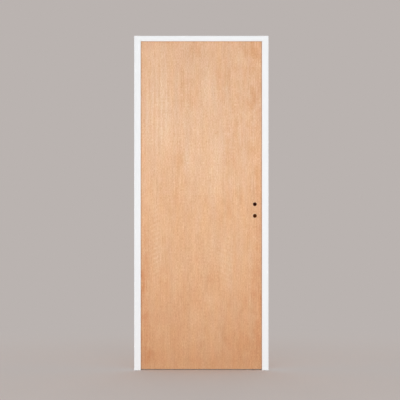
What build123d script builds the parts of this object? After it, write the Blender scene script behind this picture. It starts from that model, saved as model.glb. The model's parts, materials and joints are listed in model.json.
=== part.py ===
from build123d import *
import os

os.makedirs("parts", exist_ok=True)

# Driving sizes, in millimetres. X runs across the door, +Y away from the push side, +Z up.
# The origin is on the hinge jamb's outer face, at mid depth, on the floor.

# Leaf
leaf_width = 762
leaf_height = 2032
leaf_thickness = 40
skin_thickness = 3
lipping_width = 8
stile_width = 28
rail_height = 40
core_strip = 3
core_cell = 170

# Gaps round the closed leaf
side_gap = 5
top_gap = 5
floor_gap = 4
stop_gap = 5

# Frame
frame_depth = 72
jamb_thickness = 28
head_thickness = 20
stop_width = 12
frame_arris = 1.5
leaf_arris = 1

# Seal strip, one section for all three sides
seal_groove_width = 3.6
seal_groove_depth = 6
seal_groove_inset = 6.2
seal_stem_play = 0.2
seal_pad_width = 7.4
seal_pad_round = 1.6
seal_touch_gap = 0.6

# Butt hinges
hinge_height = 100
hinge_plate = 3
hinge_plate_width = 31
hinge_corner = 6
hinge_knuckles = 3
knuckle_gap = 0.5
knuckle_stand_off = 0.45
pin_radius = 3.5
pin_play = 0.05
pin_tip_radius = 5.4
pin_tip_height = 3.6
pin_tip_bevel = 1.2
hinge_from_top = 150
hinge_from_bottom = 225
housing_play = 0.2
screw_hole = 2.3
screw_head = 4.4
screw_hole_wedges = 4
hinge_screws = 3
hinge_screw_pitch = 36
hinge_screw_stagger = 7

# Lock, with its forend flush in the edge of the leaf
spindle_height = 1023
key_drop = 72
backset = 50
furniture_bore = 12
lock_case_thickness = 15
lock_case_depth = 85
lock_case_above_spindle = 50
lock_case_below_key = 43
lock_case_play = 0.5
lock_block_width = 70
lock_block_margin = 77
forend_width = 20
forend_thickness = 3
forend_overhang = 35
lock_screw_inset = 9
follower_radius = 9
follower_play = 0.3
follower_proud = 0.4
spindle_square = 8.1
socket_web = 2
key_eye = 4
key_slot_width = 3.6
key_slot_drop = 9
keyway_depth = 5
latch_rise = 10
latch_height = 22
latch_thickness = 12.4
latch_length = 18
latch_bevel = 10.5
bolt_rise = 28
bolt_height = 32
bolt_thickness = 10
bolt_length = 24
bolt_round = 1
bolt_play = 0.4

# Strike plate on the lock jamb
strike_plate = 3
strike_width = 24
strike_height = 170
strike_corner = 6
strike_opening_width = 14
strike_opening_margin = 3
strike_latch_pocket = 14
strike_bolt_pocket = 21
strike_lip_height = 44
strike_lip_round = 4
strike_lip_reach = 1.5

# Planes and lines that the pieces share
frame_back = frame_depth / 2
frame_front = -frame_depth / 2
leaf_back = frame_back
leaf_front = leaf_back - leaf_thickness
leaf_middle = leaf_back - leaf_thickness / 2
stop_face = leaf_front - stop_gap
leaf_hinge_edge = jamb_thickness + side_gap
leaf_lock_edge = leaf_hinge_edge + leaf_width
frame_width = leaf_lock_edge + side_gap + jamb_thickness
lock_jamb_face = frame_width - jamb_thickness
stop_edge = jamb_thickness + stop_width
leaf_bottom = floor_gap
leaf_top = floor_gap + leaf_height
head_underside = leaf_top + top_gap
frame_height = head_underside + head_thickness

core_thickness = leaf_thickness - 2 * skin_thickness
core_back = leaf_back - skin_thickness
skin_left = leaf_hinge_edge + lipping_width
skin_right = leaf_lock_edge - lipping_width
skin_width = skin_right - skin_left
stile_inner_left = skin_left + stile_width
stile_inner_right = skin_right - stile_width
leaf_centre_z = leaf_bottom + leaf_height / 2

spindle_x = leaf_lock_edge - backset
key_height = spindle_height - key_drop
furniture_centres = [(spindle_x, spindle_height), (spindle_x, key_height)]
lock_case_top = spindle_height + lock_case_above_spindle
lock_case_bottom = key_height - lock_case_below_key
lock_centre_z = (lock_case_top + lock_case_bottom) / 2
lock_case_height = lock_case_top - lock_case_bottom
forend_height = lock_case_height + 2 * forend_overhang
lock_case_front = leaf_lock_edge - forend_thickness
lock_case_back = lock_case_front - lock_case_depth
lock_block_height = lock_case_height + 2 * lock_block_margin
lock_block_left = stile_inner_right - lock_block_width
latch_z = spindle_height + latch_rise
bolt_z = key_height + bolt_rise


def upright(y):
    """A drawing plane that faces the push side, at depth y: its own axes are X and Z."""
    return Plane.XZ.offset(-y)


def sideways(x):
    """A drawing plane that faces +X, at x: its own axes are Y and Z."""
    return Plane.YZ.offset(x)


def finish(piece, name):
    piece.part.label = name
    export_step(piece.part, f"parts/{name}.step")


def countersink(thickness):
    """A screw hole that narrows through a plate: square wedges turned in steps, so its sides are flat."""
    with BuildPart() as cutter:
        for turn in range(screw_hole_wedges):
            with Locations(Location((0, 0, -thickness / 2), (0, 0, 90 * turn / screw_hole_wedges))):
                Wedge(
                    2 * screw_head,
                    thickness,
                    2 * screw_head,
                    screw_head - screw_hole,
                    screw_head - screw_hole,
                    screw_head + screw_hole,
                    screw_head + screw_hole,
                    rotation=(-90, 0, 0),
                    mode=Mode.INTERSECT if turn else Mode.ADD,
                )
    return cutter.part


# Hinge axis and knuckles, shared by the plates and the pins
knuckle_bore = pin_radius + pin_play
knuckle_radius = knuckle_bore + hinge_plate
hinge_axis_x = jamb_thickness + side_gap / 2
hinge_axis_y = frame_back + knuckle_radius + knuckle_stand_off
knuckle_pitch = hinge_height / hinge_knuckles
hinge_centres = {
    "top": leaf_top - hinge_from_top - hinge_height / 2,
    "middle": (leaf_top - hinge_from_top + leaf_bottom + hinge_from_bottom) / 2,
    "bottom": leaf_bottom + hinge_from_bottom + hinge_height / 2,
}


def hinge_housing(x):
    """The shallow recesses that the hinge plates sit in, cut from x onwards into the part being built."""
    for centre_z in hinge_centres.values():
        with BuildSketch(sideways(x)) as recess:
            with Locations((frame_back, centre_z)):
                Rectangle(
                    hinge_plate_width + housing_play,
                    hinge_height + 2 * housing_play,
                    align=(Align.MAX, Align.CENTER),
                )
            fillet(recess.vertices().group_by(Axis.X)[0], hinge_corner)
        extrude(recess.sketch, amount=hinge_plate, mode=Mode.SUBTRACT)


def plain_jamb():
    """The hinge-side jamb as planed: a board with eased edges, but for the one that the stop covers."""
    with BuildPart() as board:
        with BuildSketch(Plane.XY) as section:
            Rectangle(jamb_thickness, frame_depth, align=(Align.MIN, Align.CENTER))
            fillet(section.vertices().filter_by(lambda v: v.X == 0 or v.Y > 0), frame_arris)
        extrude(amount=frame_height)
    return board.part


# Hinge jamb
with BuildPart() as jamb_hinge_side:
    add(plain_jamb())
    hinge_housing(jamb_thickness - hinge_plate)
finish(jamb_hinge_side, "jamb_hinge_side")

# Strike plate: a rounded plate with two openings and a lip that rolls over the jamb's edge
strike_right = leaf_middle + strike_width / 2
strike_openings = [
    (latch_z, latch_height + 2 * strike_opening_margin),
    (bolt_z, bolt_height + 2 * strike_opening_margin),
]
lip_tip = frame_back + strike_lip_reach
with BuildPart() as strike:
    with BuildSketch(sideways(lock_jamb_face)) as outline:
        with Locations((leaf_middle, lock_centre_z)):
            RectangleRounded(strike_width, strike_height, strike_corner)
        for opening_z, opening_height in strike_openings:
            with Locations((leaf_middle, opening_z)):
                Rectangle(strike_opening_width, opening_height, mode=Mode.SUBTRACT)
    extrude(amount=strike_plate)
    with BuildSketch(Plane.XY.offset(latch_z - strike_lip_height / 2)):
        with BuildLine():
            flat = Polyline(
                (lock_jamb_face + strike_plate, strike_right - strike_corner / 2),
                (lock_jamb_face, strike_right - strike_corner / 2),
                (lock_jamb_face, lip_tip - strike_lip_round),
            )
            roll = JernArc(flat @ 1, (0, 1), strike_lip_round, -90)
            edge = Line(roll @ 1, (lock_jamb_face + strike_lip_round, lip_tip - strike_plate))
            inner = JernArc(edge @ 1, (-1, 0), strike_lip_round - strike_plate, 90)
            Line(inner @ 1, flat @ 0)
        make_face()
    extrude(amount=strike_lip_height)
    with Locations(
        Plane(
            (lock_jamb_face, leaf_middle, lock_centre_z), x_dir=(0, 1, 0), z_dir=(-1, 0, 0)
        )
    ):
        with GridLocations(0, strike_height - 2 * lock_screw_inset, 1, 2):
            add(countersink(strike_plate), mode=Mode.SUBTRACT)
finish(strike, "strike_plate")

# Lock jamb: the hinge jamb turned round, cut for the strike plate and the two bolts
with BuildPart() as jamb_lock_side:
    mirror(plain_jamb(), about=Plane.YZ.offset(frame_width / 2))
    with BuildSketch(sideways(lock_jamb_face)):
        with Locations((leaf_middle, lock_centre_z)):
            RectangleRounded(
                strike_width + 2 * housing_play, strike_height + 2 * housing_play, strike_corner
            )
    extrude(amount=strike_plate, mode=Mode.SUBTRACT)
    with BuildSketch(sideways(lock_jamb_face)):
        with Locations((leaf_middle, latch_z)):
            Rectangle(
                frame_depth / 2, strike_lip_height + 2 * housing_play, align=(Align.MIN, Align.CENTER)
            )
    extrude(amount=strike_lip_round + housing_play, mode=Mode.SUBTRACT)
    for (opening_z, opening_height), pocket in zip(
        strike_openings, (strike_latch_pocket, strike_bolt_pocket)
    ):
        with BuildSketch(sideways(lock_jamb_face)):
            with Locations((leaf_middle, opening_z)):
                Rectangle(strike_opening_width, opening_height)
        extrude(amount=strike_plate + pocket, mode=Mode.SUBTRACT)
finish(jamb_lock_side, "jamb_lock_side")

# Head: a board cut between the jambs
with BuildPart() as head:
    with BuildSketch(sideways(jamb_thickness)) as section:
        with Locations((0, head_underside)):
            Rectangle(frame_depth, head_thickness, align=(Align.CENTER, Align.MIN))
        fillet(
            section.vertices().filter_by(lambda v: v.X > frame_front or v.Y > head_underside),
            frame_arris,
        )
    extrude(amount=frame_width - 2 * jamb_thickness)
finish(head, "frame_head")

# Where the stops run: each plane starts on its board's face, in line with the face that the leaf
# closes towards, and has its own X away from the board and its own Y towards the leaf
stop_runs = {
    "hinge_side": (
        Plane((jamb_thickness, stop_face, 0), x_dir=(1, 0, 0), z_dir=(0, 0, 1)),
        head_underside,
    ),
    "lock_side": (
        Plane((lock_jamb_face, stop_face, head_underside), x_dir=(-1, 0, 0), z_dir=(0, 0, -1)),
        head_underside,
    ),
    "head": (
        Plane((stop_edge, stop_face, head_underside), x_dir=(0, 0, -1), z_dir=(1, 0, 0)),
        frame_width - 2 * stop_edge,
    ),
}
seal_line = stop_width - seal_groove_inset


def stop_section():
    """A strip with a groove for the seal. The origin is its corner next to the board and the leaf."""
    with BuildSketch(Plane.XY) as strip:
        Rectangle(stop_width, stop_face - frame_front, align=(Align.MIN, Align.MAX))
        with Locations((seal_line, 0)):
            Rectangle(
                seal_groove_width,
                seal_groove_depth,
                align=(Align.CENTER, Align.MAX),
                mode=Mode.SUBTRACT,
            )
        fillet(strip.vertices().sort_by(lambda v: v.X - v.Y)[-1], frame_arris)
    return strip.sketch


def seal_section():
    """A stem held in the groove and a soft pad that stands just clear of the leaf."""
    with BuildSketch(Plane.XY) as strip:
        with Locations((seal_line, 0)):
            Rectangle(
                seal_groove_width - 2 * seal_stem_play,
                seal_groove_depth - seal_stem_play,
                align=(Align.CENTER, Align.MAX),
            )
            Rectangle(seal_pad_width, stop_gap - seal_touch_gap, align=(Align.CENTER, Align.MIN))
        fillet(strip.vertices().group_by(Axis.Y)[-1], seal_pad_round)
    return strip.sketch


# Stops, flush with the frame's front edge, and their seals
for name, (run, length) in stop_runs.items():
    for kind, section in (("stop", stop_section()), ("seal", seal_section())):
        with BuildPart() as strip:
            with BuildSketch(run):
                add(section)
            extrude(amount=length)
        finish(strip, f"{kind}_{name}")

# Leaf skins: two veneered boards, bored for the spindle and the key
for name, back_of_skin in (("leaf_skin_front", leaf_front + skin_thickness), ("leaf_skin_back", leaf_back)):
    with BuildPart() as skin:
        with BuildSketch(upright(back_of_skin)):
            with Locations(((skin_left + skin_right) / 2, leaf_centre_z)):
                Rectangle(skin_width, leaf_height)
            with Locations(*furniture_centres):
                Circle(furniture_bore, mode=Mode.SUBTRACT)
        extrude(amount=skin_thickness)
    finish(skin, name)


def lock_mortise():
    """The deep pocket for the lock case, cut into whatever part is being built."""
    with BuildSketch(sideways(lock_case_back - lock_case_play)) as pocket:
        with Locations((leaf_middle, lock_centre_z)):
            Rectangle(
                lock_case_thickness + 2 * lock_case_play, lock_case_height + 2 * lock_case_play
            )
    depth = leaf_lock_edge - lock_case_back + lock_case_play
    extrude(pocket.sketch, amount=depth, mode=Mode.SUBTRACT)


# Stiles, rails and lock block: the softwood framing between the skins
with BuildPart() as hinge_stile:
    with BuildSketch(upright(core_back)):
        with Locations((skin_left, leaf_centre_z)):
            Rectangle(stile_width, leaf_height, align=(Align.MIN, Align.CENTER))
    extrude(amount=core_thickness)
finish(hinge_stile, "leaf_hinge_stile")

with BuildPart() as lock_stile:
    with BuildSketch(upright(core_back)):
        with Locations((skin_right, leaf_centre_z)):
            Rectangle(stile_width, leaf_height, align=(Align.MAX, Align.CENTER))
    extrude(amount=core_thickness)
    lock_mortise()
finish(lock_stile, "leaf_lock_stile")

for name, rail_z, side in (
    ("leaf_top_rail", leaf_top, Align.MAX),
    ("leaf_bottom_rail", leaf_bottom, Align.MIN),
):
    with BuildPart() as rail:
        with BuildSketch(upright(core_back)):
            with Locations((stile_inner_left, rail_z)):
                Rectangle(
                    stile_inner_right - stile_inner_left, rail_height, align=(Align.MIN, side)
                )
        extrude(amount=core_thickness)
    finish(rail, name)

with BuildPart() as lock_block:
    with BuildSketch(upright(core_back)):
        with Locations((lock_block_left, lock_centre_z)):
            Rectangle(lock_block_width, lock_block_height, align=(Align.MIN, Align.CENTER))
        with Locations(*furniture_centres):
            Circle(furniture_bore, mode=Mode.SUBTRACT)
    extrude(amount=core_thickness)
    lock_mortise()
finish(lock_block, "leaf_lock_block")

# Core: crossed fibreboard strips that hold the skins apart
core_width = stile_inner_right - stile_inner_left
core_height = leaf_height - 2 * rail_height
columns = round(core_width / core_cell) - 1
rows = round(core_height / core_cell) - 1
with BuildPart() as core:
    with BuildSketch(upright(core_back)):
        with Locations(((stile_inner_left + stile_inner_right) / 2, leaf_centre_z)):
            with GridLocations(core_width / (columns + 1), 0, columns, 1):
                Rectangle(core_strip, core_height)
            with GridLocations(0, core_height / (rows + 1), 1, rows):
                Rectangle(core_width, core_strip)
        with Locations((lock_block_left, lock_centre_z)):
            Rectangle(
                lock_block_width,
                lock_block_height,
                align=(Align.MIN, Align.CENTER),
                mode=Mode.SUBTRACT,
            )
    extrude(amount=core_thickness)
finish(core, "leaf_core")

# Lippings: hardwood strips over the long edges, with the four corners eased


def plain_lipping(x, side):
    with BuildPart() as strip:
        with BuildSketch(Plane.XY.offset(leaf_bottom)) as section:
            with Locations((x, leaf_middle)):
                Rectangle(lipping_width, leaf_thickness, align=(side, Align.CENTER))
            outer = -1 if side is Align.MAX else 0
            fillet(section.vertices().group_by(Axis.X)[outer], leaf_arris)
        extrude(amount=leaf_height)
    return strip.part


with BuildPart() as lipping_hinge_edge:
    add(plain_lipping(leaf_hinge_edge, Align.MIN))
    hinge_housing(leaf_hinge_edge)
finish(lipping_hinge_edge, "leaf_lipping_hinge_edge")

with BuildPart() as lipping_lock_edge:
    add(plain_lipping(leaf_lock_edge, Align.MAX))
    lock_mortise()
    with BuildSketch(sideways(lock_case_front)):
        with Locations((leaf_middle, lock_centre_z)):
            SlotOverall(
                forend_height + 2 * housing_play, forend_width + 2 * housing_play, rotation=90
            )
    extrude(amount=forend_thickness, mode=Mode.SUBTRACT)
finish(lipping_lock_edge, "leaf_lipping_lock_edge")

# Lock case, with pockets for the follower, the keyway and the two bolts
case_front_face = leaf_middle - lock_case_thickness / 2
case_back_face = leaf_middle + lock_case_thickness / 2
with BuildPart() as lock_case:
    with BuildSketch(upright(case_back_face)):
        with Locations((lock_case_back, lock_centre_z)):
            Rectangle(lock_case_depth, lock_case_height, align=(Align.MIN, Align.CENTER))
        with Locations((spindle_x, spindle_height)):
            Circle(follower_radius + follower_play, mode=Mode.SUBTRACT)
    extrude(amount=lock_case_thickness)
    for face_y, inwards in ((case_front_face, -keyway_depth), (case_back_face, keyway_depth)):
        with BuildSketch(upright(face_y)):
            with Locations((spindle_x, key_height)):
                Circle(key_eye)
                Rectangle(
                    key_slot_width, key_slot_drop, align=(Align.CENTER, Align.MAX)
                )
        extrude(amount=inwards, mode=Mode.SUBTRACT)
    for bolt_centre, height, thickness, length in (
        (latch_z, latch_height, latch_thickness, latch_length),
        (bolt_z, bolt_height, bolt_thickness, bolt_length),
    ):
        with BuildSketch(sideways(lock_case_front)):
            with Locations((leaf_middle, bolt_centre)):
                Rectangle(thickness + 2 * bolt_play, height + 2 * bolt_play)
        extrude(amount=forend_thickness - length - bolt_play, mode=Mode.SUBTRACT)
finish(lock_case, "lock_case")

# Follower: the disc that a handle's square spindle turns, with a web between its two sockets
socket_depth = (lock_case_thickness + 2 * follower_proud - socket_web) / 2
with BuildPart() as follower:
    with BuildSketch(upright(case_back_face + follower_proud)):
        with Locations((spindle_x, spindle_height)):
            Circle(follower_radius)
    extrude(amount=lock_case_thickness + 2 * follower_proud)
    for face_y, inwards in (
        (case_front_face - follower_proud, -socket_depth),
        (case_back_face + follower_proud, socket_depth),
    ):
        with BuildSketch(upright(face_y)):
            with Locations((spindle_x, spindle_height)):
                Rectangle(spindle_square, spindle_square)
        extrude(amount=inwards, mode=Mode.SUBTRACT)
finish(follower, "spindle_follower")

# Forend: the lock's face plate, with round ends
with BuildPart() as forend:
    with BuildSketch(sideways(lock_case_front)):
        with Locations((leaf_middle, lock_centre_z)):
            SlotOverall(forend_height, forend_width, rotation=90)
        for bolt_centre, height, thickness in (
            (latch_z, latch_height, latch_thickness),
            (bolt_z, bolt_height, bolt_thickness),
        ):
            with Locations((leaf_middle, bolt_centre)):
                Rectangle(
                    thickness + 2 * bolt_play, height + 2 * bolt_play, mode=Mode.SUBTRACT
                )
    extrude(amount=forend_thickness)
    with Locations(
        Plane((leaf_lock_edge, leaf_middle, lock_centre_z), x_dir=(0, 1, 0), z_dir=(1, 0, 0))
    ):
        with GridLocations(0, forend_height - 2 * lock_screw_inset, 1, 2):
            add(countersink(forend_thickness), mode=Mode.SUBTRACT)
finish(forend, "lock_forend")

# Latch, drawn back flush: its slope meets the strike plate first as the leaf closes
latch_side = latch_thickness / 2
with BuildPart() as latch:
    with BuildSketch(Plane.XY.offset(latch_z - latch_height / 2)):
        with BuildLine():
            Polyline(
                (leaf_lock_edge, leaf_middle + latch_side),
                (leaf_lock_edge - latch_length, leaf_middle + latch_side),
                (leaf_lock_edge - latch_length, leaf_middle - latch_side),
                (leaf_lock_edge - latch_bevel, leaf_middle - latch_side),
                close=True,
            )
        make_face()
    extrude(amount=latch_height)
finish(latch, "latch_bolt")

# Dead bolt, drawn back flush
with BuildPart() as dead_bolt:
    with BuildSketch(sideways(leaf_lock_edge - bolt_length)):
        with Locations((leaf_middle, bolt_z)):
            Rectangle(bolt_thickness, bolt_height)
    extrude(amount=bolt_length)
    chamfer(dead_bolt.faces().sort_by(Axis.X)[-1].edges(), bolt_round)
finish(dead_bolt, "dead_bolt")


def hinge_plate_part(plate_x, screw_face, screw_way, knuckle_rows, centre_z):
    """One hinge plate with its knuckles. plate_x is the plate's face of least x."""
    hinge_bottom = centre_z - hinge_height / 2
    with BuildPart() as plate:
        with BuildSketch(sideways(plate_x)) as outline:
            with Locations((frame_back, centre_z)):
                Rectangle(hinge_plate_width, hinge_height, align=(Align.MAX, Align.CENTER))
            fillet(outline.vertices().group_by(Axis.X)[0], hinge_corner)
        extrude(amount=hinge_plate)
        with Locations(
            Plane(
                (screw_face, frame_back - hinge_plate_width / 2, centre_z),
                x_dir=(0, 1, 0),
                z_dir=(screw_way, 0, 0),
            )
        ):
            for screw in range(hinge_screws):
                stagger = hinge_screw_stagger if screw % 2 else -hinge_screw_stagger
                rise = (screw - (hinge_screws - 1) / 2) * hinge_screw_pitch
                with Locations((stagger, rise)):
                    add(countersink(hinge_plate), mode=Mode.SUBTRACT)
        for row in knuckle_rows:
            foot = hinge_bottom + row * knuckle_pitch + knuckle_gap / 2
            with BuildSketch(Plane.XY.offset(foot)):
                with Locations((hinge_axis_x, hinge_axis_y)):
                    Circle(knuckle_radius)
                with Locations((plate_x, frame_back - knuckle_gap)):
                    Rectangle(
                        hinge_plate,
                        hinge_axis_y - frame_back + knuckle_gap,
                        align=(Align.MIN, Align.MIN),
                    )
                with Locations((hinge_axis_x, hinge_axis_y)):
                    Circle(knuckle_bore, mode=Mode.SUBTRACT)
            extrude(amount=knuckle_pitch - knuckle_gap)
    return plate


# Three hinges, each with a plate on the frame, a plate on the leaf and a pin with button tips
for place, centre_z in hinge_centres.items():
    frame_plate = hinge_plate_part(
        jamb_thickness - hinge_plate, jamb_thickness, 1, range(0, hinge_knuckles, 2), centre_z
    )
    finish(frame_plate, f"hinge_frame_plate_{place}")
    leaf_plate = hinge_plate_part(
        leaf_hinge_edge, leaf_hinge_edge, -1, range(1, hinge_knuckles, 2), centre_z
    )
    finish(leaf_plate, f"hinge_leaf_plate_{place}")

    tip_foot = hinge_height / 2
    tip_top = tip_foot + pin_tip_height
    with BuildPart() as pin:
        with BuildSketch(Plane.XZ) as half:
            with BuildLine():
                Polyline(
                    (0, -tip_top),
                    (pin_tip_radius, -tip_top),
                    (pin_tip_radius, -tip_foot),
                    (pin_radius, -tip_foot),
                    (pin_radius, tip_foot),
                    (pin_tip_radius, tip_foot),
                    (pin_tip_radius, tip_top),
                    (0, tip_top),
                    close=True,
                )
            make_face()
            tips = half.vertices().filter_by(lambda v: v.X > pin_radius and abs(v.Y) > tip_foot)
            chamfer(tips, pin_tip_bevel)
        revolve(axis=Axis.Z)
    pin.part.position = (hinge_axis_x, hinge_axis_y, centre_z)
    finish(pin, f"hinge_pin_{place}")
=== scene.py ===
import json
import math

import bpy
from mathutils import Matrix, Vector

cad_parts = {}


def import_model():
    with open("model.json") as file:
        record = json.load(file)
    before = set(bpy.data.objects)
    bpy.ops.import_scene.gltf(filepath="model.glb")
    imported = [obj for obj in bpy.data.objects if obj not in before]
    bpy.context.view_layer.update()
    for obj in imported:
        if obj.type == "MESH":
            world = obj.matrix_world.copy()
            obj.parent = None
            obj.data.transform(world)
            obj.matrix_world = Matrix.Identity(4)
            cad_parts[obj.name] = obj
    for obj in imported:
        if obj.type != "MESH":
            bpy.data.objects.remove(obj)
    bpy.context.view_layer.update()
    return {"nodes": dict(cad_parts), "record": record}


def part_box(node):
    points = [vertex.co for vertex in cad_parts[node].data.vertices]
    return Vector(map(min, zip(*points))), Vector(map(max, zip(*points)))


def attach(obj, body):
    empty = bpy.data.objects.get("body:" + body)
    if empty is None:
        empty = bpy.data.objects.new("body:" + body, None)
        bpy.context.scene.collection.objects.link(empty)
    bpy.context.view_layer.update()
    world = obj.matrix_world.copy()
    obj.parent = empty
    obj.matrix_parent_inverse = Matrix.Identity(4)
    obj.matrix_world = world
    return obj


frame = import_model()
nodes = frame["nodes"]
mm = 0.001


def linear(red, green, blue):
    """A colour written as 0 to 255 for each channel, as the renderer's linear light."""
    shares = (value / 255 for value in (red, green, blue))
    return tuple(s / 12.92 if s <= 0.04045 else ((s + 0.055) / 1.055) ** 2.4 for s in shares)


def middle(node):
    """The middle of a node's box."""
    low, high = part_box(node)
    return (low + high) / 2


# Sizes read from the frame, and the bores' two, which no box shows

skin_low, skin_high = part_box("leaf_skin_front")
leaf_middle_z = (skin_low.z + skin_high.z) / 2
frame_front, frame_back = (corner.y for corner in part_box("frame_head"))
middle_x = (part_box("jamb_hinge_side")[0].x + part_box("jamb_lock_side")[1].x) / 2
spindle = middle("spindle_follower")
key_drop = 72 * mm
bore_radius = 12 * mm


# Wiring

def socket_of(sockets, kind, name=None):
    """The first socket of a kind, and of a name where one is given."""
    return next(s for s in sockets if s.type == kind and name in (None, s.name))


class Wiring:
    """Adds nodes to a tree and feeds their sockets with values or with other nodes' outputs."""

    def __init__(self, tree):
        self.tree = tree

    def feed(self, socket, value):
        if isinstance(value, bpy.types.NodeSocket):
            self.tree.links.new(value, socket)
        else:
            socket.default_value = value

    def node(self, kind, *values, by_name=None, **settings):
        """A new node. The values feed its sockets in order, and by_name feeds those it names."""
        made = self.tree.nodes.new(kind)
        for name, value in settings.items():
            setattr(made, name, value)
        for socket, value in zip(made.inputs, values):
            self.feed(socket, value)
        for name, value in (by_name or {}).items():
            self.feed(made.inputs[name], value)
        return made

    def math(self, operation, *values):
        return self.node("ShaderNodeMath", *values, operation=operation).outputs[0]

    def vector(self, operation, *values):
        made = self.node("ShaderNodeVectorMath", *values, operation=operation)
        return made.outputs["Value" if operation in ("LENGTH", "DOT_PRODUCT") else "Vector"]

    def split(self, vector):
        return self.node("ShaderNodeSeparateXYZ", vector).outputs

    def join(self, x, y, z):
        return self.node("ShaderNodeCombineXYZ", x, y, z).outputs[0]


class Finish(Wiring):
    """One material, with patterns in the object's own coordinates."""

    def __init__(self, name):
        self.material = bpy.data.materials.new(name)
        self.material.use_nodes = True
        super().__init__(self.material.node_tree)
        self.tree.nodes.clear()
        place = self.tree.nodes.new("ShaderNodeTexCoord")
        self.at, self.normal = place.outputs["Object"], place.outputs["Normal"]

    def placed(self, at, shift, stretch=(1, 1, 1)):
        """Places stretched along each axis, and then shifted."""
        sizes = {"Location": shift, "Scale": stretch}
        return self.node("ShaderNodeMapping", at, by_name=sizes, vector_type="POINT").outputs[0]

    def cloud(self, at, size, detail=2.0, roughness=0.5, shift=(0, 0, 0)):
        """Soft random variation around 0, with blots of about size. None leaves an axis out."""
        stretch = [0 if length is None else 1 / length for length in size]
        made = self.node("ShaderNodeTexNoise", noise_dimensions="3D", by_name={
            "Vector": self.placed(at, shift, stretch),
            "Scale": 1,
            "Detail": detail,
            "Roughness": roughness,
        })
        return self.math("SUBTRACT", made.outputs[0], 0.5)

    def ramp(self, value, stops):
        """A colour that goes from stop to stop as value goes from 0 to 1."""
        made = self.node("ShaderNodeValToRGB", value)
        band = made.color_ramp
        while len(band.elements) < len(stops):
            band.elements.new(1)
        for element, (position, colour) in zip(band.elements, stops):
            element.position = position
            element.color = (*colour, 1)
        return made.outputs[0]

    def between(self, value, low, high):
        """0 to 1, with soft ends, as value goes from low to high."""
        ends = {"Value": value, "From Min": low, "From Max": high}
        made = self.node("ShaderNodeMapRange", by_name=ends, interpolation_type="SMOOTHSTEP")
        return made.outputs["Result"]

    def around(self, centre, half_size):
        """Places on the door's face as shares of half_size from centre."""
        (x, z), (half_x, half_z) = centre, half_size
        return self.placed(self.at, (-x / half_x, 0, -z / half_z), (1 / half_x, 0, 1 / half_z))

    def oval(self, centre, half_size, full, ragged=0.0):
        """1 inside an oval on the door's face, out to its share full, and 0 at its outline."""
        out = self.vector("LENGTH", self.around(centre, half_size))
        return self.between(self.math("ADD", out, ragged), 1, full)

    def board(self, centre, half_size, ragged):
        """1 inside a straight-sided band on the door's face, with ragged ends, and 0 outside it."""
        full_across, full_along = 0.86, 0.6
        across, _, along = self.split(self.vector("ABSOLUTE", self.around(centre, half_size)))
        sides = self.between(across, 1, full_across)
        ends = self.between(self.math("ADD", along, ragged), 1, full_along)
        return self.math("MULTIPLY", sides, ends)

    def faces(self, axis, limit):
        """1 where the surface faces along an axis, either way, and 0 elsewhere."""
        facing = self.math("ABSOLUTE", self.split(self.normal)[axis])
        return self.math("GREATER_THAN", facing, limit)

    def mix(self, share, first, second):
        """The first colour where share is 0, the second where it is 1."""
        made = self.node("ShaderNodeMix", share, data_type="RGBA", clamp_factor=True)
        for name, value in (("A", first), ("B", second)):
            colour = (*value, 1) if isinstance(value, tuple) else value
            self.feed(socket_of(made.inputs, "RGBA", name), colour)
        return socket_of(made.outputs, "RGBA")

    def total(self, *parts):
        """Each part is an output and its weight, and the result is their weighted sum."""
        result = self.math("MULTIPLY", *parts[0])
        for output, weight in parts[1:]:
            result = self.math("MULTIPLY_ADD", output, weight, result)
        return result

    def shaded(self, colour, tone, depth):
        """A colour darker where tone is below 0 and paler above, by depth for each channel."""
        tint = self.vector("MULTIPLY_ADD", tone, depth, (1, 1, 1))
        return self.vector("MULTIPLY", colour, tint)

    def surface(
        self, colour, *, rough, uneven, height, relief, strength=0.5, metal=0.0, shine=0.5
    ):
        """The whole material: uneven is added to its roughness, and height makes its relief."""
        bump = self.node("ShaderNodeBump", by_name={
            "Strength": strength,
            "Distance": relief,
            "Height": height,
        })
        body = self.node("ShaderNodeBsdfPrincipled", by_name={
            "Base Color": colour,
            "Metallic": metal,
            "Roughness": self.math("ADD", uneven, rough),
            "Specular IOR Level": shine,
            "Normal": bump.outputs[0],
        })
        self.node("ShaderNodeOutputMaterial", by_name={"Surface": body.outputs[0]})
        return self.material


# Veneer

# Tones of the veneered face from its foot to its top, as shares of its height: partly the veneer's
# own drift and partly painted shade that darkens it towards the foot, with the lowest stop painted
# a little paler to offset the shade where the foot meets the floor
veneer_tones_and_painted_shade = (
    (0.00, linear(213, 158, 109)),
    (0.025, linear(210, 152, 103)),
    (0.22, linear(222, 166, 118)),
    (0.45, linear(229, 176, 129)),
    (0.70, linear(232, 184, 143)),
    (1.00, linear(226, 178, 138)),
)
# How fast red, green and blue change with the fine grain, the broader figure and two slow drifts
fine_depth = (0.42, 0.84, 1.20)
figure_depth = (0.31, 0.80, 1.34)
warm_depth = (0.10, 0.0, -0.20)
green_depth = (-0.03, 0.06, -0.06)
board_brown = linear(150, 112, 78)
sanded_rim = 6 * mm


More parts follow.
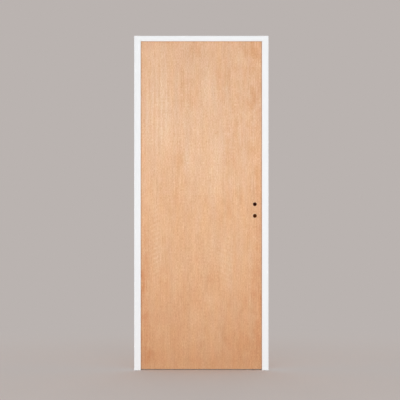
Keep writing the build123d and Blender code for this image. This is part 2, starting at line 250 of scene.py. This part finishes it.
def veneer(name, seed, marks, boards, stripes):
    """Rotary-cut veneer under satin lacquer, its grain along Z and its figure across X and Z."""
    f = Finish(name)
    x, _, z = f.split(f.at)
    # The lines of the grain wander slowly by a few centimetres, and quickly by a few millimetres
    slow = f.cloud(f.at, (450 * mm, None, 1400 * mm), detail=1.0, shift=(seed, seed, 0))
    quick = f.cloud(f.at, (70 * mm, None, 350 * mm), detail=1.0, shift=(0, seed, seed))
    wander = f.total((slow, 90 * mm), (quick, 14 * mm))
    grain = f.join(f.math("ADD", x, wander), seed, z)

    # The grain itself, from its finest lines to its broadest clouds
    pores = f.cloud(grain, (0.7 * mm, None, 9 * mm))
    fleck = f.cloud(grain, (3.4 * mm, None, 12 * mm), roughness=0.6)
    dash = f.cloud(grain, (3.2 * mm, None, 60 * mm), roughness=0.6, shift=(2, 0, 6))
    streak = f.cloud(grain, (3.6 * mm, None, 320 * mm), roughness=0.6, shift=(3, 0, 1))
    band = f.cloud(grain, (30 * mm, None, 500 * mm), shift=(7, 0, 2))
    mottle = f.cloud(grain, (35 * mm, None, 70 * mm), shift=(1, 0, 5))
    cloud = f.cloud(grain, (120 * mm, None, 280 * mm), shift=(4, 0, 3))
    fine = f.total((pores, 0.30), (fleck, 1.25), (dash, 0.85), (streak, 0.62))
    figure = [(band, 0.12), (mottle, 0.27), (cloud, 0.26)]

    # The figure at its places: ribbon stripes and slanted ripples, soft marks and straight bands
    ragged = f.total((mottle, 1.6), (streak, 1.6), (fleck, 0.5))
    for centre, half_size, pitch, slope, weight in stripes:
        way = (-math.sin(slope) / pitch, 0, math.cos(slope) / pitch)
        lines = f.vector("DOT_PRODUCT", f.at, way)
        wave = f.math("SINE", f.total((lines, math.tau), (mottle, 1.0), (quick, 1.0)))
        here = f.oval(centre, half_size, 0.5, ragged)
        figure.append((f.math("MULTIPLY", wave, here), weight))
    for centre, half_size, weight in marks:
        figure.append((f.oval(centre, half_size, 0.1, ragged), weight))
    for centre, half_size, weight in boards:
        figure.append((f.board(centre, half_size, ragged), weight))
    # The sanded rim round each bore is a little paler
    sanded = (bore_radius + sanded_rim, bore_radius + sanded_rim)
    for bore_z in (spindle.z, spindle.z - key_drop):
        figure.append((f.oval((spindle.x, bore_z), sanded, 0.7), 0.10))

    height = f.math("DIVIDE", f.math("SUBTRACT", z, skin_low.z), skin_high.z - skin_low.z)
    # The tones carry painted shade that darkens the leaf towards its foot, and painted light in
    # their paler lowest stop
    colour = f.ramp(height, veneer_tones_and_painted_shade)
    warm = f.cloud(grain, (50 * mm, None, 300 * mm), detail=1.0, shift=(9, 0, 9))
    green = f.cloud(grain, (50 * mm, None, 90 * mm), shift=(8, 0, 8))
    colour = f.shaded(colour, warm, warm_depth)
    colour = f.shaded(colour, green, green_depth)
    colour = f.shaded(colour, f.total(*figure), figure_depth)
    colour = f.shaded(colour, fine, fine_depth)

    # The board under the veneer shows at the leaf's ends and in the bores
    colour = f.mix(f.faces("Y", 0.5), board_brown, colour)
    return f.surface(
        colour,
        rough=0.44,
        uneven=f.total((streak, -0.16), (pores, -0.10)),
        height=f.total((pores, 1.0), (streak, 0.4)),
        relief=0.15 * mm,
    )


# Places on the push-side face, in metres: centre, half size and how much paler or darker
front_marks = (
    ((0.364, 1.975), (0.056, 0.083), -0.15),
    ((0.120, 1.965), (0.120, 0.110), 0.08),
    ((0.728, 1.965), (0.060, 0.110), -0.25),
    ((0.557, 1.812), (0.075, 0.105), -0.12),
    ((0.179, 1.750), (0.050, 0.135), 0.06),
    ((0.452, 1.735), (0.040, 0.190), 0.14),
    ((0.560, 1.690), (0.081, 0.098), -0.06),
    ((0.734, 1.690), (0.035, 0.165), -0.14),
    ((0.292, 1.655), (0.016, 0.130), -0.10),
    ((0.343, 1.650), (0.043, 0.090), -0.12),
    ((0.480, 1.650), (0.060, 0.330), 0.06),
    ((0.160, 1.640), (0.125, 0.540), 0.04),
    ((0.683, 1.620), (0.100, 0.250), -0.06),
    ((0.392, 1.530), (0.030, 0.150), 0.06),
    ((0.503, 1.463), (0.007, 0.012), -0.26),
    ((0.580, 1.457), (0.010, 0.016), 0.30),
    ((0.194, 1.450), (0.033, 0.150), 0.08),
    ((0.715, 1.380), (0.055, 0.160), -0.05),
    ((0.600, 1.360), (0.062, 0.150), -0.05),
    ((0.279, 1.320), (0.037, 0.090), -0.12),
    ((0.370, 1.310), (0.088, 0.180), 0.03),
    ((0.470, 1.270), (0.106, 0.285), 0.03),
    ((0.752, 1.180), (0.030, 0.180), -0.10),
    ((0.595, 1.170), (0.045, 0.083), 0.07),
    ((0.735, 1.100), (0.055, 0.850), -0.05),
    ((0.572, 1.030), (0.100, 0.150), -0.08),
    ((0.248, 1.020), (0.100, 0.180), -0.07),
    ((0.133, 0.930), (0.045, 0.225), 0.06),
    ((0.485, 0.770), (0.050, 0.260), 0.05),
    ((0.715, 0.770), (0.055, 0.150), -0.06),
    ((0.572, 0.720), (0.050, 0.240), 0.08),
    ((0.138, 0.700), (0.037, 0.165), 0.06),
    ((0.700, 0.690), (0.028, 0.050), 0.07),
    ((0.200, 0.680), (0.050, 0.150), -0.07),
    ((0.066, 0.640), (0.040, 0.260), -0.17),
    ((0.369, 0.600), (0.020, 0.210), 0.07),
    ((0.264, 0.580), (0.062, 0.120), 0.09),
    ((0.487, 0.565), (0.062, 0.075), -0.09),
    ((0.128, 0.530), (0.025, 0.150), 0.08),
    ((0.580, 0.520), (0.043, 0.075), 0.10),
    ((0.178, 0.490), (0.035, 0.140), -0.10),
    ((0.749, 0.470), (0.037, 0.480), -0.10),
    ((0.056, 0.430), (0.028, 0.220), -0.14),
    ((0.470, 0.430), (0.066, 0.080), 0.20),
    ((0.670, 0.395), (0.034, 0.110), -0.10),
    ((0.364, 0.324), (0.057, 0.098), 0.09),
    ((0.557, 0.270), (0.020, 0.210), -0.09),
    ((0.066, 0.230), (0.045, 0.230), -0.15),
    ((0.664, 0.160), (0.088, 0.128), -0.06),
    ((0.087, 0.077), (0.062, 0.083), -0.14),
    ((0.218, 0.060), (0.094, 0.068), 0.07),
)
# Its straight-sided bands, in the same way
front_boards = (
    ((0.145, 1.640), (0.085, 0.340), 0.05),
    ((0.335, 1.296), (0.028, 0.095), 0.07),
    ((0.598, 1.290), (0.056, 0.150), -0.06),
    ((0.504, 1.230), (0.040, 0.230), 0.09),
    ((0.790, 1.000), (0.040, 1.150), -0.08),
    ((0.572, 0.690), (0.040, 0.190), 0.06),
    ((0.440, 0.250), (0.100, 0.190), 0.08),
)
# Places of its stripes and ripples: centre, half size, pitch, slope of the lines and depth
upright = math.radians(90)
ripple_slope = math.radians(26)
front_stripes = (
    ((0.150, 1.640), (0.105, 0.360), 0.0292, upright, 0.080),
    ((0.128, 0.780), (0.045, 0.380), 0.0265, ripple_slope, 0.055),
    ((0.568, 0.660), (0.055, 0.240), 0.0310, -ripple_slope, 0.050),
)
# The pull-side face, in the same three ways
back_marks = (
    ((0.360, 1.900), (0.075, 0.090), -0.10),
    ((0.080, 1.750), (0.037, 0.210), -0.10),
    ((0.470, 1.700), (0.050, 0.180), -0.12),
    ((0.700, 1.620), (0.044, 0.210), 0.08),
    ((0.180, 1.300), (0.088, 0.450), 0.08),
    ((0.420, 1.100), (0.037, 0.225), -0.09),
    ((0.620, 0.950), (0.075, 0.300), 0.09),
    ((0.240, 0.850), (0.062, 0.135), 0.07),
    ((0.520, 0.620), (0.062, 0.120), -0.07),
    ((0.300, 0.500), (0.037, 0.300), -0.11),
    ((0.100, 0.350), (0.037, 0.240), -0.12),
    ((0.560, 0.300), (0.062, 0.135), 0.10),
)
back_boards = (
    ((0.600, 1.450), (0.100, 0.380), 0.05),
    ((0.250, 1.120), (0.070, 0.180), 0.06),
    ((0.430, 0.480), (0.060, 0.160), -0.06),
)
back_stripes = (
    ((0.600, 1.450), (0.120, 0.400), 0.0280, upright, 0.060),
    ((0.300, 0.900), (0.060, 0.300), 0.0270, ripple_slope, 0.050),
)


# Other wood

def lipping_wood():
    """Straight-grained hardwood strip, lacquered with the leaf."""
    f = Finish("lipping_wood")
    streak = f.cloud(f.at, (1.6 * mm, 1.6 * mm, 110 * mm), detail=3.0, roughness=0.6)
    band = f.cloud(f.at, (20 * mm, 12 * mm, 500 * mm), detail=1.0)
    pores = f.cloud(f.at, (0.4 * mm, 0.4 * mm, 6 * mm))
    tone = f.total((streak, 0.8), (band, 0.6), (pores, 0.4))
    colour = f.shaded(linear(219, 168, 129), tone, fine_depth)
    # End grain at the top and the foot
    colour = f.mix(f.faces("Z", 0.7), colour, linear(176, 124, 86))
    uneven = f.total((streak, 0.3))
    return f.surface(colour, rough=0.42, uneven=uneven, height=pores, relief=0.1 * mm)


def softwood():
    """Sawn and planed framing: growth rings that run the length of each piece."""
    f = Finish("softwood")
    ring_pitch, ring_bend = 3.4 * mm, 14 * mm
    bend = f.cloud(f.at, (80 * mm, 80 * mm, 600 * mm), detail=1.0)
    x, y, _ = f.split(f.at)
    across = f.total((x, 0.8), (y, 1.0), (bend, ring_bend))
    ring = f.math("FRACT", f.math("DIVIDE", across, ring_pitch))
    late = f.between(ring, 0.45, 0.95)
    fibre = f.cloud(f.at, (0.5 * mm, 0.5 * mm, 30 * mm))
    colour = f.mix(late, linear(226, 197, 150), linear(190, 146, 96))
    colour = f.shaded(colour, fibre, (0.25, 0.3, 0.35))
    uneven = f.total((fibre, 0.3))
    return f.surface(colour, rough=0.62, uneven=uneven, height=fibre, relief=0.1 * mm)


def fibreboard():
    """Pressed brown fibres."""
    f = Finish("fibreboard")
    fibre = f.cloud(f.at, (1.2 * mm, 1.2 * mm, 3 * mm), detail=4.0, roughness=0.7)
    colour = f.shaded(board_brown, fibre, (0.7, 0.8, 0.9))
    return f.surface(
        colour,
        rough=0.78,
        uneven=f.total((fibre, 0.3)),
        height=fibre,
        relief=0.2 * mm,
        strength=0.7,
    )


# Lacquer and rubber

def frame_lacquer():
    """White satin lacquer, sprayed: faint orange peel and hardly any change of tone."""
    f = Finish("frame_lacquer")
    peel = f.cloud(f.at, (2.2 * mm, 2.2 * mm, 2.2 * mm))
    grain = f.cloud(f.at, (1.1 * mm, 1.1 * mm, 60 * mm))
    cloud = f.cloud(f.at, (200 * mm, 200 * mm, 300 * mm))
    tone = f.total((cloud, 0.05), (grain, 0.02))
    colour = f.shaded(linear(244, 246, 248), tone, (1.0, 1.0, 1.05))
    uneven = f.total((cloud, 0.12))
    height = f.total((peel, 1.0), (grain, 0.5))
    return f.surface(colour, rough=0.48, uneven=uneven, height=height, relief=0.05 * mm)


def seal_rubber():
    """Pale grey seal, matt, with the fine lines that its die leaves along it."""
    f = Finish("seal")
    line = f.cloud(f.at, (0.5 * mm, 0.5 * mm, 400 * mm))
    dust = f.cloud(f.at, (4 * mm, 4 * mm, 9 * mm), detail=3.0)
    tone = f.total((line, 0.25), (dust, 0.15))
    colour = f.shaded(linear(206, 205, 202), tone, (0.6, 0.6, 0.6))
    return f.surface(
        colour,
        rough=0.66,
        uneven=f.total((dust, 0.2)),
        height=line,
        relief=0.08 * mm,
        strength=0.6,
    )


def case_lacquer(name, colour):
    """Dark brown lacquer on pressed steel, a little uneven; the dark brown is partly painted shade,
    standing in for the shade inside the bores where the lock shows through them.
    """
    f = Finish(name)
    grit = f.cloud(f.at, (1.2 * mm, 1.2 * mm, 1.2 * mm), detail=3.0)
    slow = f.cloud(f.at, (8 * mm, 8 * mm, 12 * mm))
    tint = f.shaded(colour, f.total((grit, 0.5), (slow, 0.9)), (0.8, 0.9, 1.0))
    return f.surface(
        tint,
        rough=0.62,
        uneven=f.total((slow, 0.3)),
        height=grit,
        relief=0.08 * mm,
        strength=0.6,
        shine=0.06,
    )


# Metal

def plated_metal(name, colour, *, rough, line_size, line_depth, blotch_depth):
    """Plated steel: fine brush lines, and slow blotches in the plating."""
    f = Finish(name)
    line = f.cloud(f.at, line_size, detail=3.0, roughness=0.6)
    slow = f.cloud(f.at, (9 * mm, 9 * mm, 13 * mm), detail=3.0)
    tone = f.total((line, line_depth), (slow, blotch_depth))
    return f.surface(
        f.shaded(colour, tone, (1.0, 1.0, 0.92)),
        rough=rough,
        uneven=f.total((line, 0.25), (slow, 0.30)),
        height=line,
        relief=0.03 * mm,
        strength=0.6,
        metal=1.0,
    )


zinc = plated_metal(
    "hinge_steel",
    linear(182, 182, 181),
    rough=0.34,
    line_size=(0.5 * mm, 0.5 * mm, 18 * mm),
    line_depth=0.25,
    blotch_depth=0.30,
)
nickel = plated_metal(
    "lock_steel",
    linear(214, 209, 201),
    rough=0.28,
    line_size=(0.4 * mm, 0.4 * mm, 30 * mm),
    line_depth=0.22,
    blotch_depth=0.16,
)
bolt_nickel = plated_metal(
    "bolt_metal",
    linear(220, 214, 204),
    rough=0.24,
    line_size=(12 * mm, 0.4 * mm, 0.4 * mm),
    line_depth=0.20,
    blotch_depth=0.12,
)


# Finishes of the pieces, by material slot and, for three of them, by their own names

finishes = {
    "lipping": lipping_wood(),
    "frame_lacquer": frame_lacquer(),
    "softwood": softwood(),
    "fibreboard": fibreboard(),
    "seal": seal_rubber(),
    "hinge_steel": zinc,
    "lock_steel": nickel,
    "bolt_metal": bolt_nickel,
    # The lock case's dark brown is partly painted shade, for the bores that show it
    "case_lacquer": case_lacquer("case_lacquer", linear(86, 38, 4)),
}
own_finishes = {
    "leaf_skin_front": veneer("veneer_front", 1.7, front_marks, front_boards, front_stripes),
    "leaf_skin_back": veneer("veneer_back", 5.3, back_marks, back_boards, back_stripes),
    # The follower's darker brown is painted shade for the spindle's bore
    "spindle_follower": case_lacquer("follower_lacquer_and_painted_shade", linear(58, 12, 1)),
}
for piece in frame["record"]["subparts"]:
    name = piece["node"]
    materials = nodes[name].data.materials
    materials.clear()
    materials.append(own_finishes.get(name) or finishes[piece["material_slot"]])


# Screws

screw_sizes = {
    "Head Radius": 4.2 * mm,
    "Shank Radius": 2.1 * mm,
    "Head Depth": 2.8 * mm,
    "Recess Length": 4.6 * mm,
    "Recess Width": 1.1 * mm,
    "Recess Depth": 1.4 * mm,
}
head_sides = 28
head_below_face = 0.12 * mm


def screw_tree():
    """A countersunk head with a cross recess on each point, turned at random about its own line."""
    tree = bpy.data.node_groups.new("countersunk_screws", "GeometryNodeTree")
    face = tree.interface
    face.new_socket("Points", in_out="INPUT", socket_type="NodeSocketGeometry")
    for name in screw_sizes:
        face.new_socket(name, in_out="INPUT", socket_type="NodeSocketFloat")
    face.new_socket("Seed", in_out="INPUT", socket_type="NodeSocketInt")
    face.new_socket("Metal", in_out="INPUT", socket_type="NodeSocketMaterial")
    face.new_socket("Screws", in_out="OUTPUT", socket_type="NodeSocketGeometry")
    w = Wiring(tree)
    given = tree.nodes.new("NodeGroupInput").outputs

    # The head, its face at height 0
    cone = w.node("GeometryNodeMeshCone", fill_type="NGON", by_name={
        "Vertices": head_sides,
        "Radius Top": given["Head Radius"],
        "Radius Bottom": given["Shank Radius"],
        "Depth": given["Head Depth"],
    })
    head = w.node("GeometryNodeTransform", by_name={
        "Geometry": cone.outputs["Mesh"],
        "Translation": w.join(0.0, 0.0, w.math("MULTIPLY", given["Head Depth"], -1.0)),
    })

    # Two crossed slots cut out of it, each half above its face
    length, width = given["Recess Length"], given["Recess Width"]
    depth = w.math("MULTIPLY", given["Recess Depth"], 2.0)
    slots = w.node("GeometryNodeJoinGeometry")
    for size in ((length, width, depth), (width, length, depth)):
        box = w.node("GeometryNodeMeshCube", by_name={"Size": w.join(*size)})
        w.feed(slots.inputs[0], box.outputs["Mesh"])
    cut = w.node("GeometryNodeMeshBoolean", operation="DIFFERENCE", solver="EXACT", by_name={
        "Mesh 1": head.outputs[0],
        "Mesh 2": slots.outputs[0],
        "Self Intersection": True,
    })

    # Each head faces outward from its plate, after a random turn of up to a quarter
    outward = w.node("GeometryNodeInputNamedAttribute", data_type="FLOAT_VECTOR")
    outward.inputs["Name"].default_value = "outward"
    aim = w.node("FunctionNodeAlignRotationToVector", axis="Z")
    w.feed(aim.inputs["Vector"], outward.outputs[0])
    spin = w.node("FunctionNodeRandomValue", data_type="FLOAT", by_name={"Seed": given["Seed"]})
    socket_of(spin.inputs, "VALUE", "Max").default_value = math.pi / 2
    turn = w.node("FunctionNodeAxisAngleToRotation", by_name={
        "Axis": (0, 0, 1),
        "Angle": socket_of(spin.outputs, "VALUE"),
    })
    turned = w.node("FunctionNodeRotateRotation", rotation_space="LOCAL", by_name={
        "Rotation": aim.outputs[0],
        "Rotate By": turn.outputs[0],
    })

    copies = w.node("GeometryNodeInstanceOnPoints", by_name={
        "Points": given["Points"],
        "Instance": cut.outputs["Mesh"],
        "Rotation": turned.outputs[0],
    })
    real = w.node("GeometryNodeRealizeInstances", copies.outputs[0])
    metal = w.node("GeometryNodeSetMaterial", by_name={
        "Geometry": real.outputs[0],
        "Material": given["Metal"],
    })
    w.feed(tree.nodes.new("NodeGroupOutput").inputs[0], metal.outputs[0])
    return tree


def screws(name, body, metal, seed, places):
    """One mesh with every screw head of a body.

    Each place is a point on a plate's face and the way the face looks.
    """
    points = bpy.data.meshes.new(name + "_points")
    sunk = [Vector(at) - Vector(way) * head_below_face for at, way in places]
    points.from_pydata(sunk, [], [])
    ways = points.attributes.new("outward", "FLOAT_VECTOR", "POINT")
    for item, (_, way) in zip(ways.data, places):
        item.vector = way
    maker = bpy.data.objects.new(name, points)
    bpy.context.scene.collection.objects.link(maker)
    modifier = maker.modifiers.new("screws", "NODES")
    modifier.node_group = screw_group
    values = {**screw_sizes, "Seed": seed, "Metal": metal}
    for item in screw_group.interface.items_tree:
        if item.in_out == "INPUT" and item.name in values:
            modifier[item.identifier] = values[item.name]
    depsgraph = bpy.context.evaluated_depsgraph_get()
    mesh = bpy.data.meshes.new_from_object(maker.evaluated_get(depsgraph), depsgraph=depsgraph)
    maker.modifiers.remove(modifier)
    maker.data = mesh
    mesh.name = name
    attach(maker, body)


screw_group = screw_tree()
frame_screws, leaf_screws = [], []

# Three in each hinge plate, the middle one out of line with the others
screw_pitch = 36 * mm
screw_stagger = 7 * mm
plate_width = 31 * mm
plate_middle_y = frame_back - plate_width / 2
jamb_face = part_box("jamb_hinge_side")[1].x
leaf_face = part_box("leaf_lipping_hinge_edge")[0].x
for place in ("top", "middle", "bottom"):
    plate_z = middle(f"hinge_frame_plate_{place}").z
    for row, stagger in ((-1, -screw_stagger), (0, screw_stagger), (1, -screw_stagger)):
        y, z = plate_middle_y + stagger, plate_z + row * screw_pitch
        frame_screws.append(((jamb_face, y, z), (1, 0, 0)))
        leaf_screws.append(((leaf_face, y, z), (-1, 0, 0)))

# One at each end of the strike plate and of the forend
lock_screw_inset = 9 * mm
lock_y = middle("lock_forend").y
for plate, face_x, way, found in (
    ("strike_plate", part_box("strike_plate")[0].x, -1, frame_screws),
    ("lock_forend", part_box("lock_forend")[1].x, 1, leaf_screws),
):
    low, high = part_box(plate)
    for z in (low.z + lock_screw_inset, high.z - lock_screw_inset):
        found.append(((face_x, lock_y, z), (way, 0, 0)))
frame_seed, leaf_seed = 3, 8
screws("screws_frame", "frame", zinc, frame_seed, frame_screws)
screws("screws_leaf", "leaf", zinc, leaf_seed, leaf_screws)


# Floor, light and camera

backdrop = (*linear(186, 179, 176), 1)
floor_paint = linear(219, 210, 206)
# Paler to the light that bounces off it than to the eye, which keeps the foot of the frame white
floor_bounce = linear(246, 245, 244)
floor_reach = 30
floor_level = -0.5 * mm
fade_start, fade_end = 1.4, 3.6
dome_level = 0.58
lamp_size = 1.9
lamp_height = 1.0
# Each lamp's place across and away from the door's middle, in metres, and its power
lamps = {
    "front_left_soft_box": (-1.7, -9.0, 142),
    "front_right_soft_box": (1.7, -9.0, 142),
    "back_left_soft_box": (-1.7, 9.0, 142),
    "back_right_soft_box": (1.7, 9.0, 142),
    "left_side_soft_box": (-9.0, 0.0, 100),
    "right_side_soft_box": (9.0, 0.0, 100),
}
# What the picture spans at the frame's front edge, and where its middle is
picture_width = 2466 * mm
picture_middle_x = 405.7 * mm
eye_height = 1049.1 * mm
lens, sensor_width = 150, 36
view_end = 200


def seen_rays(w):
    """1 for what the eye, mirrors and glass see, and 0 for the light that falls on the door."""
    path = w.node("ShaderNodeLightPath").outputs
    seen = path["Is Camera Ray"]
    for kind in ("Is Glossy Ray", "Is Transmission Ray"):
        seen = w.math("MAXIMUM", seen, path[kind])
    return seen


def floor():
    """A plain pale floor that fades into the backdrop's colour away from the door."""
    f = Finish("studio_floor")
    away = f.vector("LENGTH", f.placed(f.at, (-middle_x, 0, 0)))
    far = f.between(away, fade_start, fade_end)
    seen = seen_rays(f)
    plain = f.node("ShaderNodeBsdfDiffuse", f.mix(seen, floor_bounce, floor_paint))
    glow = f.node("ShaderNodeEmission", backdrop, 1.0)
    share = f.math("MULTIPLY", far, seen)
    blend = f.node("ShaderNodeMixShader", share, plain.outputs[0], glow.outputs[0])
    f.node("ShaderNodeOutputMaterial", by_name={"Surface": blend.outputs[0]})
    mesh = bpy.data.meshes.new("studio_floor")
    ways = ((-1, -1), (1, -1), (1, 1), (-1, 1))
    corners = [(floor_reach * x, floor_reach * y, floor_level) for x, y in ways]
    mesh.from_pydata(corners, [], [(0, 1, 2, 3)])
    mesh.materials.append(f.material)
    ground = bpy.data.objects.new("studio_floor", mesh)
    bpy.context.scene.collection.objects.link(ground)


def world():
    """An even white dome for light, which shows as the backdrop's colour."""
    sky = bpy.data.worlds.new("studio")
    bpy.context.scene.world = sky
    sky.use_nodes = True
    sky.node_tree.nodes.clear()
    w = Wiring(sky.node_tree)
    dome = w.node("ShaderNodeBackground", (1, 1, 1, 1), dome_level)
    shown = w.node("ShaderNodeBackground", backdrop, 1.0)
    blend = w.node("ShaderNodeMixShader", seen_rays(w), dome.outputs[0], shown.outputs[0])
    w.node("ShaderNodeOutputWorld", by_name={"Surface": blend.outputs[0]})


def lamp(name, at, power):
    """A large square soft box that faces the middle of the door."""
    light = bpy.data.lights.new(name, "AREA")
    light.size = lamp_size
    light.energy = power
    holder = bpy.data.objects.new(name, light)
    bpy.context.scene.collection.objects.link(holder)
    holder.visible_camera = False
    holder.location = at
    toward = Vector((middle_x, 0, leaf_middle_z)) - holder.location
    holder.rotation_euler = toward.to_track_quat("-Z", "Y").to_euler()


def camera():
    """Straight on and level, as far off as the picture's width asks."""
    eye = bpy.data.cameras.new("camera")
    eye.sensor_width = sensor_width
    eye.lens = lens
    eye.clip_end = view_end
    holder = bpy.data.objects.new("camera", eye)
    bpy.context.scene.collection.objects.link(holder)
    distance = picture_width * lens / sensor_width
    holder.location = (picture_middle_x, frame_front - distance, eye_height)
    holder.rotation_euler = (math.pi / 2, 0, 0)
    bpy.context.scene.camera = holder


floor()
world()
for name, (across, away, power) in lamps.items():
    lamp(name, (middle_x + across, away, lamp_height), power)
camera()
bpy.context.scene.view_settings.view_transform = "Standard"
